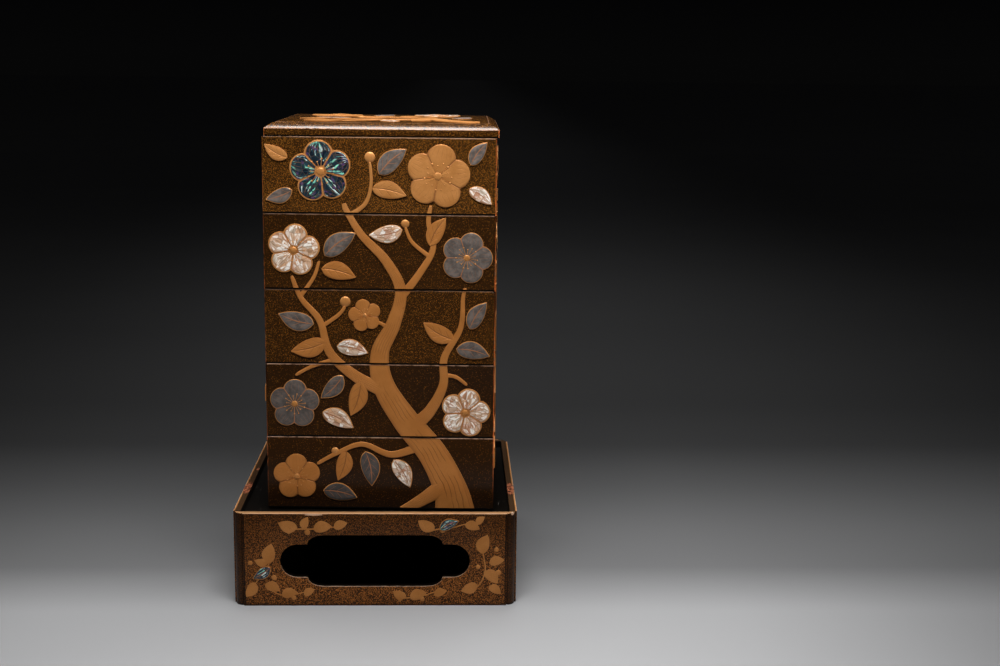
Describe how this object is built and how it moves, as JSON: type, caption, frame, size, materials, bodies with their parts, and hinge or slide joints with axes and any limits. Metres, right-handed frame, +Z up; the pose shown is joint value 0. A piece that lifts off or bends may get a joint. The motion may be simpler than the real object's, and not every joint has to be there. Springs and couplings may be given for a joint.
{
  "type": "tiered lacquer box",
  "caption": "Stack of square lacquer boxes with a bevelled lid on a low pierced stand, with raised gold branches and shell and pewter inlays.",
  "frame": {"origin": "on the ground under the middle of the stand", "axes": "+Z up, the decorated front faces -Y, +X to the right seen from the front"},
  "size_m": [0.278, 0.2793, 0.4714],
  "materials": {
    "stand_lacquer": "lacquer sprinkled with gold",
    "tier_lacquer": "lacquer sprinkled with gold",
    "pewter": "dulled grey sheet with engraved veins",
    "pearl": "polished pearl shell",
    "abalone": "polished blue-green shell",
    "gold": "gold powder lacquer",
    "black_lacquer": "black gloss lacquer"
  },
  "bodies": {
    "root": {"stand": "stand_lacquer", "tier_1": "tier_lacquer", "tier_2": "tier_lacquer", "tier_3": "tier_lacquer", "tier_4": "tier_lacquer", "tier_5": "tier_lacquer", "lid": "tier_lacquer", "stand_leaf_1": "abalone", "stand_leaf_2": "abalone", "abalone_blossom_1_petal_1": "abalone", "abalone_blossom_1_petal_2": "abalone", "abalone_blossom_1_petal_3": "abalone", "abalone_blossom_1_petal_4": "abalone", "abalone_blossom_1_petal_5": "abalone", "pearl_blossom_1_petal_1": "pearl", "pearl_blossom_1_petal_2": "pearl", "pearl_blossom_1_petal_3": "pearl", "pearl_blossom_1_petal_4": "pearl", "pearl_blossom_1_petal_5": "pearl", "pearl_blossom_2_petal_1": "pearl", "pearl_blossom_2_petal_2": "pearl", "pearl_blossom_2_petal_3": "pearl", "pearl_blossom_2_petal_4": "pearl", "pearl_blossom_2_petal_5": "pearl", "pearl_blossom_3_petal_1": "pearl", "pearl_blossom_3_petal_2": "pearl", "pearl_blossom_3_petal_3": "pearl", "pearl_blossom_3_petal_4": "pearl", "pearl_blossom_3_petal_5": "pearl", "pearl_leaf_1": "pearl", "pearl_leaf_2": "pearl", "pearl_leaf_3": "pearl", "pearl_leaf_4": "pearl", "pearl_leaf_5": "pearl", "pearl_leaf_6": "pearl", "pewter_blossom_1": "pewter", "pewter_blossom_2": "pewter", "pewter_blossom_3": "pewter", "pewter_blossom_4": "pewter", "pewter_leaf_1": "pewter", "pewter_leaf_2": "pewter", "pewter_leaf_3": "pewter", "pewter_leaf_4": "pewter", "pewter_leaf_5": "pewter", "pewter_leaf_6": "pewter", "pewter_leaf_7": "pewter", "pewter_leaf_8": "pewter", "pewter_leaf_9": "pewter", "pewter_leaf_10": "pewter", "pewter_leaf_11": "pewter", "pewter_leaf_12": "pewter", "pewter_leaf_13": "pewter", "pewter_leaf_14": "pewter", "pewter_leaf_15": "pewter", "pewter_leaf_16": "pewter"}
  },
  "joints": []
}
